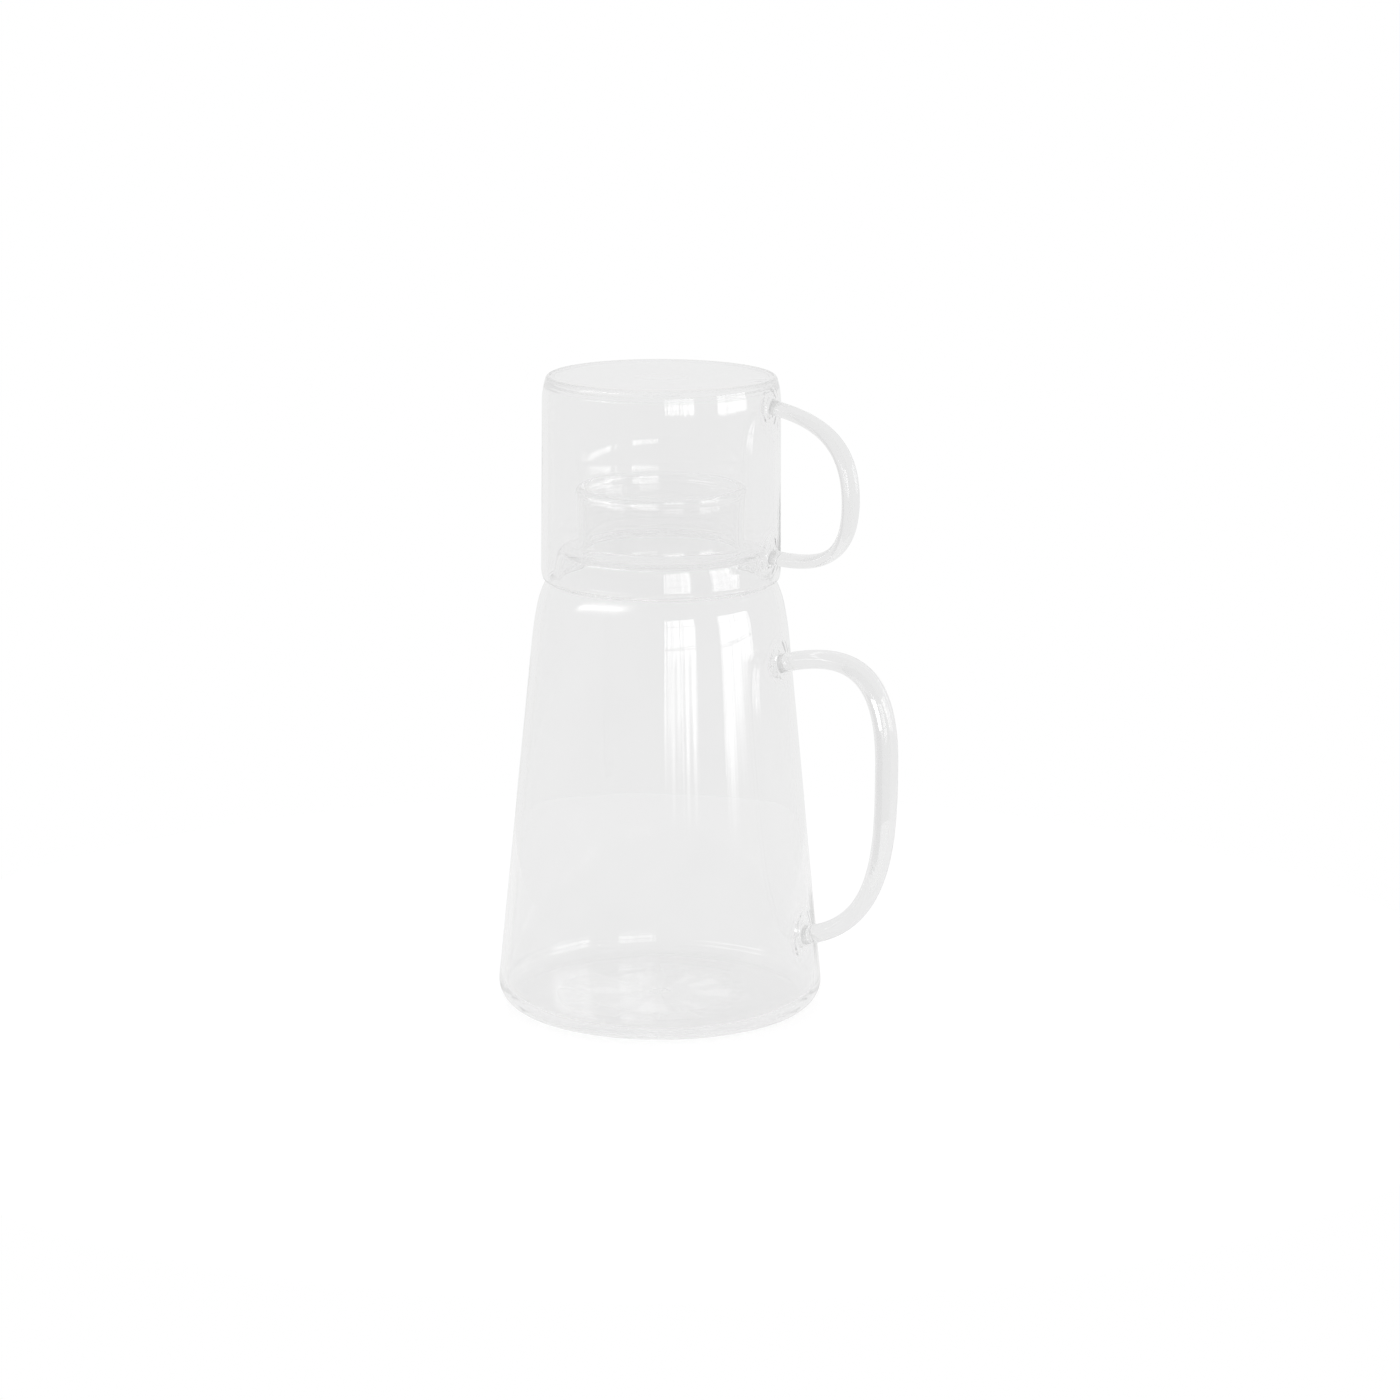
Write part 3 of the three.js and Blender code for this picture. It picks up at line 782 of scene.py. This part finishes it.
def drawn_lines(tree, place, gather, finish):
    """Normal of the wall with the fine upright lines of a drawn tube, in patches."""
    across = 1 / finish.line_spacing
    stretched = add_node(
        tree, "ShaderNodeMapping",
        {"Vector": place, "Scale": (across, across, 1 / finish.line_length)},
    )
    lines = add_node(
        tree, "ShaderNodeTexNoise",
        {"Vector": stretched.outputs["Vector"], "Scale": 1.0, "Detail": 2.0},
    )
    upright = add_node(tree, "ShaderNodeAttribute", attribute_name="drawn").outputs["Fac"]
    patch = add_node(
        tree, "ShaderNodeMapRange",
        {"Value": gather, "From Min": finish.line_start, "From Max": finish.line_full},
    )
    bump = add_node(
        tree, "ShaderNodeBump",
        {
            "Height": lines.outputs["Fac"],
            "Distance": finish.line_depth,
            "Strength": reckon(tree, "MULTIPLY", upright, patch.outputs["Result"]),
        },
    )
    return bump.outputs["Normal"]


def weld_ripples(tree, place, normal, weld, weld_places):
    """Normal of the wall with uneven rings of waves round its welds."""
    stray = add_node(
        tree, "ShaderNodeTexNoise", {"Vector": place, "Scale": 1 / weld.ripple_reach, "Detail": 0.0},
        normalize=False,
    )
    strayed = add_node(
        tree, "ShaderNodeVectorMath",
        {0: stray.outputs["Color"], 1: (weld.ripple_stray,) * 3, 2: place}, operation="MULTIPLY_ADD",
    )
    height = 0.0
    for weld_place in weld_places:
        away = add_node(
            tree, "ShaderNodeVectorMath", {0: strayed.outputs["Vector"], 1: weld_place},
            operation="DISTANCE",
        ).outputs["Value"]
        turn = reckon(tree, "MULTIPLY", away, math.tau / weld.ripple_spacing)
        wave = reckon(tree, "COSINE", turn)
        fade = add_node(
            tree, "ShaderNodeMapRange",
            {"Value": away, "From Max": weld.ripple_reach, "To Min": 1.0, "To Max": 0.0},
            interpolation_type="SMOOTHSTEP",
        )
        height = reckon(tree, "MULTIPLY_ADD", wave, fade.outputs["Result"], height)
    bump = add_node(
        tree, "ShaderNodeBump",
        {"Height": height, "Distance": weld.ripple, "Strength": 1.0, "Normal": normal},
    )
    return bump.outputs["Normal"]


def borosilicate(name, finish, weld, weld_places):
    # Clear borosilicate, blown and fire polished. It has no colour of its own and takes a
    # faint grey where the glass gathered thicker, most of all in the solid handles. Drawing
    # the tube left fine upright lines, which fray the sides of a reflected window. The heat
    # of each weld left ripples round it, which break up what they mirror.
    material = blank_material(name)
    tree = material.node_tree
    place = add_node(tree, "ShaderNodeTexCoord").outputs["Object"]
    slow = 1 / finish.wave_length
    gather = add_node(
        tree, "ShaderNodeTexNoise", {"Vector": place, "Scale": slow, "Detail": 1.0}
    ).outputs["Fac"]
    solid = add_node(tree, "ShaderNodeAttribute", attribute_name="gathered").outputs["Fac"]
    wall_tint = mix_colours(tree, gather, (*finish.tint, 1.0), (*finish.thick_tint, 1.0))
    tint = mix_colours(tree, solid, wall_tint, (*finish.rod_tint, 1.0))
    drawn = drawn_lines(tree, place, gather, finish)
    glass = add_node(
        tree, "ShaderNodeBsdfPrincipled",
        {
            "Base Color": tint,
            "Roughness": finish.roughness,
            "IOR": finish.ior,
            "Transmission Weight": 1.0,
            "Normal": weld_ripples(tree, place, drawn, weld, weld_places),
        },
    )
    path = add_node(tree, "ShaderNodeLightPath")
    dim = add_node(tree, "ShaderNodeBsdfTransparent", {"Color": (*finish.deep_tint, 1.0)})
    long_run = reckon(tree, "GREATER_THAN", path.outputs["Ray Depth"], DEEP_BOUNCE)
    let_out = mix_shaders(tree, long_run, glass, dim)
    clear = add_node(tree, "ShaderNodeBsdfTransparent", {"Color": tint})
    both = mix_shaders(tree, path.outputs["Is Shadow Ray"], let_out, clear)
    add_node(tree, "ShaderNodeOutputMaterial", {"Surface": both.outputs["Shader"]})
    return material


class CARAFESET_OT_carafe(bpy.types.Operator):
    """Model the carafe with its handle"""

    bl_idname = "carafe_set.carafe"
    bl_label = "Carafe"

    def execute(self, context):
        settings = context.scene.carafe_set
        form = CarafeForm(settings.carafe)
        grip = settings.carafe_grip
        piece = blow_vessel("blown_carafe", "carafe_borosilicate", form, grip, settings, 0.0)
        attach(piece, "carafe")
        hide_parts("carafe_body", "carafe_handle")
        return {"FINISHED"}


class CARAFESET_OT_tumbler(bpy.types.Operator):
    """Model the tumbler with its handle, upside down over the neck"""

    bl_idname = "carafe_set.tumbler"
    bl_label = "Tumbler"

    def execute(self, context):
        settings = context.scene.carafe_set
        form = TumblerForm(settings.tumbler)
        grip = settings.tumbler_grip
        mouth = settings.tumbler.top - settings.tumbler.height
        piece = blow_vessel("blown_tumbler", "tumbler_borosilicate", form, grip, settings, mouth)
        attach(piece, "tumbler")
        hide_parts("tumbler_body", "tumbler_handle")
        return {"FINISHED"}


def place_camera(settings):
    data = bpy.data.cameras.new("camera")
    data.sensor_width = SENSOR_WIDTH
    data.sensor_fit = "HORIZONTAL"
    data.lens = settings.focal_length
    data.clip_end = 2 * (settings.camera_distance + settings.wall_distance)
    camera = bpy.data.objects.new("camera", data)
    spot = Vector((0.0, -settings.camera_distance, settings.camera_height))
    round_axis = Matrix.Rotation(settings.camera_azimuth, 4, "Z")
    pan = Matrix.Rotation(settings.camera_azimuth - settings.camera_pan, 4, "Z")
    tilt = Matrix.Rotation(UP - settings.camera_tilt, 4, "X")
    roll = Matrix.Rotation(settings.camera_roll, 4, "Z")
    camera.matrix_world = Matrix.Translation(round_axis @ spot) @ pan @ tilt @ roll
    bpy.context.scene.collection.objects.link(camera)
    bpy.context.scene.camera = camera


def seen_by(tree, *kinds):
    """Factor of 1 for rays of these kinds, such as Is Camera Ray, and 0 for the rest."""
    path = add_node(tree, "ShaderNodeLightPath")
    factor = path.outputs[kinds[0]]
    for kind in kinds[1:]:
        factor = reckon(tree, "MAXIMUM", factor, path.outputs[kind])
    return factor


def light_room(settings):
    """Lights the set from all round. The glass shows a darker room on the camera's side."""
    world = bpy.data.worlds.new("room")
    bpy.context.scene.world = world
    world.use_nodes = True
    tree = world.node_tree
    tree.nodes.clear()
    ray = add_node(tree, "ShaderNodeTexCoord").outputs["Generated"]
    forward = Matrix.Rotation(settings.camera_azimuth, 3, "Z") @ Vector((0.0, 1.0, 0.0))
    depth = add_node(tree, "ShaderNodeVectorMath", {0: ray, 1: forward}, operation="DOT_PRODUCT")
    share = add_node(
        tree, "ShaderNodeMapRange",
        {"Value": depth.outputs["Value"], "From Min": -1.0, "From Max": 1.0},
    )
    ramp = add_node(tree, "ShaderNodeValToRGB", {"Fac": share.outputs["Result"]})
    stops = ramp.color_ramp.elements
    stops[0].color = (*settings.room, 1.0)
    stops[1].color = (*settings.haze, 1.0)
    side = stops.new(0.5)
    side.color = (*settings.wings, 1.0)
    studio = add_node(tree, "ShaderNodeBackground", {"Color": ramp.outputs["Color"]})
    paper = add_node(tree, "ShaderNodeBackground", {"Color": (*settings.paper, 1.0)})
    both = mix_shaders(tree, seen_by(tree, "Is Camera Ray"), studio, paper)
    add_node(tree, "ShaderNodeOutputWorld", {"Surface": both.outputs["Shader"]})


def stage_piece(name, bm, material):
    piece = new_piece(name, bm, material)
    return piece


def matt_paper(settings):
    # Matt white paper. Part of its white is reflected light, which keeps the shadow, and the
    # rest is given to the rays that the picture and the glass see.
    material = blank_material("matt_paper")
    tree = material.node_tree
    matt = add_node(tree, "ShaderNodeBsdfDiffuse", {"Color": (*settings.floor_shade, 1.0)})
    white = add_node(
        tree, "ShaderNodeEmission",
        {"Color": (*settings.paper, 1.0), "Strength": settings.floor_white},
    )
    hazy = add_node(
        tree, "ShaderNodeEmission",
        {"Color": (*settings.haze, 1.0), "Strength": settings.floor_haze},
    )
    by_glass = seen_by(tree, "Is Glossy Ray", "Is Transmission Ray")
    through = add_node(tree, "ShaderNodeMixShader", {0: by_glass, 2: hazy.outputs["Emission"]})
    glow = mix_shaders(tree, seen_by(tree, "Is Camera Ray"), through, white)
    both = add_shaders(tree, matt, glow)
    add_node(tree, "ShaderNodeOutputMaterial", {"Surface": both.outputs["Shader"]})
    return material


def lay_floor(settings):
    bm = bmesh.new()
    bmesh.ops.create_circle(
        bm, cap_ends=True, radius=settings.floor_radius, segments=FLOOR_STEPS
    )
    stage_piece("floor", bm, matt_paper(settings))


def mirrored_light(name, strength, most):
    """A light that shows where the glass mirrors it, at most so many times, and not through it."""
    material = blank_material(name)
    material.cycles.emission_sampling = "NONE"
    tree = material.node_tree
    glow = add_node(tree, "ShaderNodeAttribute", attribute_name="glow").outputs["Fac"]
    bright = reckon(tree, "MULTIPLY", reckon(tree, "POWER", glow, GLOW_POWER), strength)
    depth = add_node(tree, "ShaderNodeLightPath").outputs["Glossy Depth"]
    mirrored = reckon(tree, "COMPARE", depth, (1 + most) / 2, most / 2)
    shown = reckon(tree, "MULTIPLY", bright, mirrored)
    light = add_node(tree, "ShaderNodeEmission", {"Strength": shown})
    both = add_shaders(tree, add_node(tree, "ShaderNodeBsdfTransparent"), light)
    add_node(tree, "ShaderNodeOutputMaterial", {"Surface": both.outputs["Shader"]})
    return material


class Opening(NamedTuple):
    """Where a light sits on a wall round the object, with turns right from the camera."""

    facing: float
    left: float
    right: float
    bottom: float
    top: float

    def grid(self, bm, columns, rows, distance):
        """Fills the opening with a grid of faces, before it is hung on its wall."""
        bmesh.ops.create_grid(bm, x_segments=columns, y_segments=rows, size=0.5)
        left = distance * math.tan(self.left - self.facing)
        right = distance * math.tan(self.right - self.facing)
        middle = ((left + right) / 2, (self.bottom + self.top) / 2, 0.0)
        bmesh.ops.scale(bm, verts=bm.verts[:], vec=(right - left, self.top - self.bottom, 1.0))
        bmesh.ops.translate(bm, verts=bm.verts[:], vec=middle)

    def hang(self, name, bm, material, settings):
        upright = Matrix.Rotation(UP, 4, "X")
        out = Matrix.Translation((0.0, -settings.wall_distance, 0.0))
        swing = Matrix.Rotation(settings.camera_azimuth + self.facing, 4, "Z")
        bmesh.ops.transform(bm, matrix=swing @ out @ upright, verts=bm.verts[:])
        light = stage_piece(name, bm, material)
        light.visible_camera = False


def cut_grid(bm, point, normal):
    bmesh.ops.bisect_plane(
        bm, geom=bm.verts[:] + bm.edges[:] + bm.faces[:], dist=SAME_PLACE,
        plane_co=point, plane_no=normal,
    )


def hang_window(name, settings, opening, columns, material):
    """Hangs a window of panes that grows bright above a sill with a frayed edge."""
    bm = bmesh.new()
    glow = bm.verts.layers.float.new("glow")
    opening.grid(bm, columns, PANE_ROWS, settings.wall_distance)
    frames = bmesh.ops.inset_individual(bm, faces=bm.faces[:], thickness=settings.window_bar / 2)
    bmesh.ops.delete(bm, geom=frames["faces"], context="FACES")
    sides = [vert.co.x for vert in bm.verts]
    folds = round((max(sides) - min(sides)) / settings.window_fold)
    for fold in range(folds + 1):
        across = min(sides) + (fold + 0.5) * settings.window_fold
        cut_grid(bm, (across, 0.0, 0.0), (1.0, 0.0, 0.0))
    for height in (opening.bottom + settings.window_fray, opening.bottom + settings.window_dusk):
        cut_grid(bm, (0.0, height, 0.0), (0.0, 1.0, 0.0))
    for vert in bm.verts:
        fold = Vector((vert.co.x / settings.window_fold, FOLD_PHASE, FOLD_PHASE))
        sill = opening.bottom + settings.window_fray * noise.noise(fold)
        rise = min(max((vert.co.y - sill) / settings.window_dusk, 0.0), 1.0)
        shade = max(noise.noise(fold * FOLD_SHADES), 0.0)
        vert[glow] = rise * (1 - settings.window_dip * shade)
    opening.hang(name, bm, material, settings)


def hang_strip(settings):
    """Hangs a wide soft light on the left, which fades out towards its edges."""
    bm = bmesh.new()
    glow = bm.verts.layers.float.new("glow")
    opening = Opening(
        settings.strip_facing, settings.strip_left, settings.strip_right,
        settings.strip_bottom, settings.strip_top,
    )
    opening.grid(bm, STRIP_COLUMNS, STRIP_ROWS, settings.wall_distance)
    for vert in bm.verts:
        vert[glow] = 0.0 if vert.is_boundary else 1.0
    opening.hang("strip", bm, mirrored_light("strip_light", settings.strip_strength, 1), settings)


class CARAFESET_OT_stage(bpy.types.Operator):
    """Set the camera, the pale floor and the soft light"""

    bl_idname = "carafe_set.stage"
    bl_label = "Stage"

    def execute(self, context):
        settings = context.scene.carafe_set.stage
        context.scene.view_settings.view_transform = "Standard"
        context.scene.cycles.max_bounces = LIGHT_BOUNCES
        context.scene.cycles.transmission_bounces = LIGHT_BOUNCES
        context.scene.cycles.glossy_bounces = LIGHT_BOUNCES
        context.scene.cycles.transparent_max_bounces = LIGHT_BOUNCES
        place_camera(settings)
        light_room(settings)
        lay_floor(settings)
        daylight = mirrored_light("window_daylight", settings.window_strength, 2)
        first = Opening(
            settings.first_facing, settings.first_left, settings.first_right,
            settings.first_sill, settings.first_sill + settings.window_height,
        )
        second = Opening(
            settings.second_facing, settings.second_left, settings.second_right,
            settings.second_sill, settings.second_sill + settings.window_height,
        )
        hang_window("first_window", settings, first, FIRST_PANES, daylight)
        hang_window("second_window", settings, second, SECOND_PANES, daylight)
        hang_strip(settings)
        return {"FINISHED"}


class CARAFESET_PT_panel(bpy.types.Panel):
    """Lists what can be made"""

    bl_idname = "CARAFESET_PT_panel"
    bl_label = "Glass Carafe with Tumbler"
    bl_space_type = "VIEW_3D"
    bl_region_type = "UI"
    bl_category = "Carafe"

    def draw(self, context):
        for operator in OPERATORS:
            self.layout.operator(operator.bl_idname)


OPERATORS = (CARAFESET_OT_stage, CARAFESET_OT_carafe, CARAFESET_OT_tumbler)
CLASSES = (
    CarafeSizes, CarafeGripSizes, TumblerSizes, TumblerGripSizes, WeldSizes, GlassFinish,
    StageSettings, CarafeSetSettings, *OPERATORS, CARAFESET_PT_panel,
)


def register():
    for cls in CLASSES:
        bpy.utils.register_class(cls)
    bpy.types.Scene.carafe_set = PointerProperty(type=CarafeSetSettings)


def unregister():
    del bpy.types.Scene.carafe_set
    for cls in reversed(CLASSES):
        bpy.utils.unregister_class(cls)


def main():
    register()
    bpy.ops.carafe_set.stage()
    bpy.ops.carafe_set.carafe()
    bpy.ops.carafe_set.tumbler()


if __name__ == "__main__":
    main()
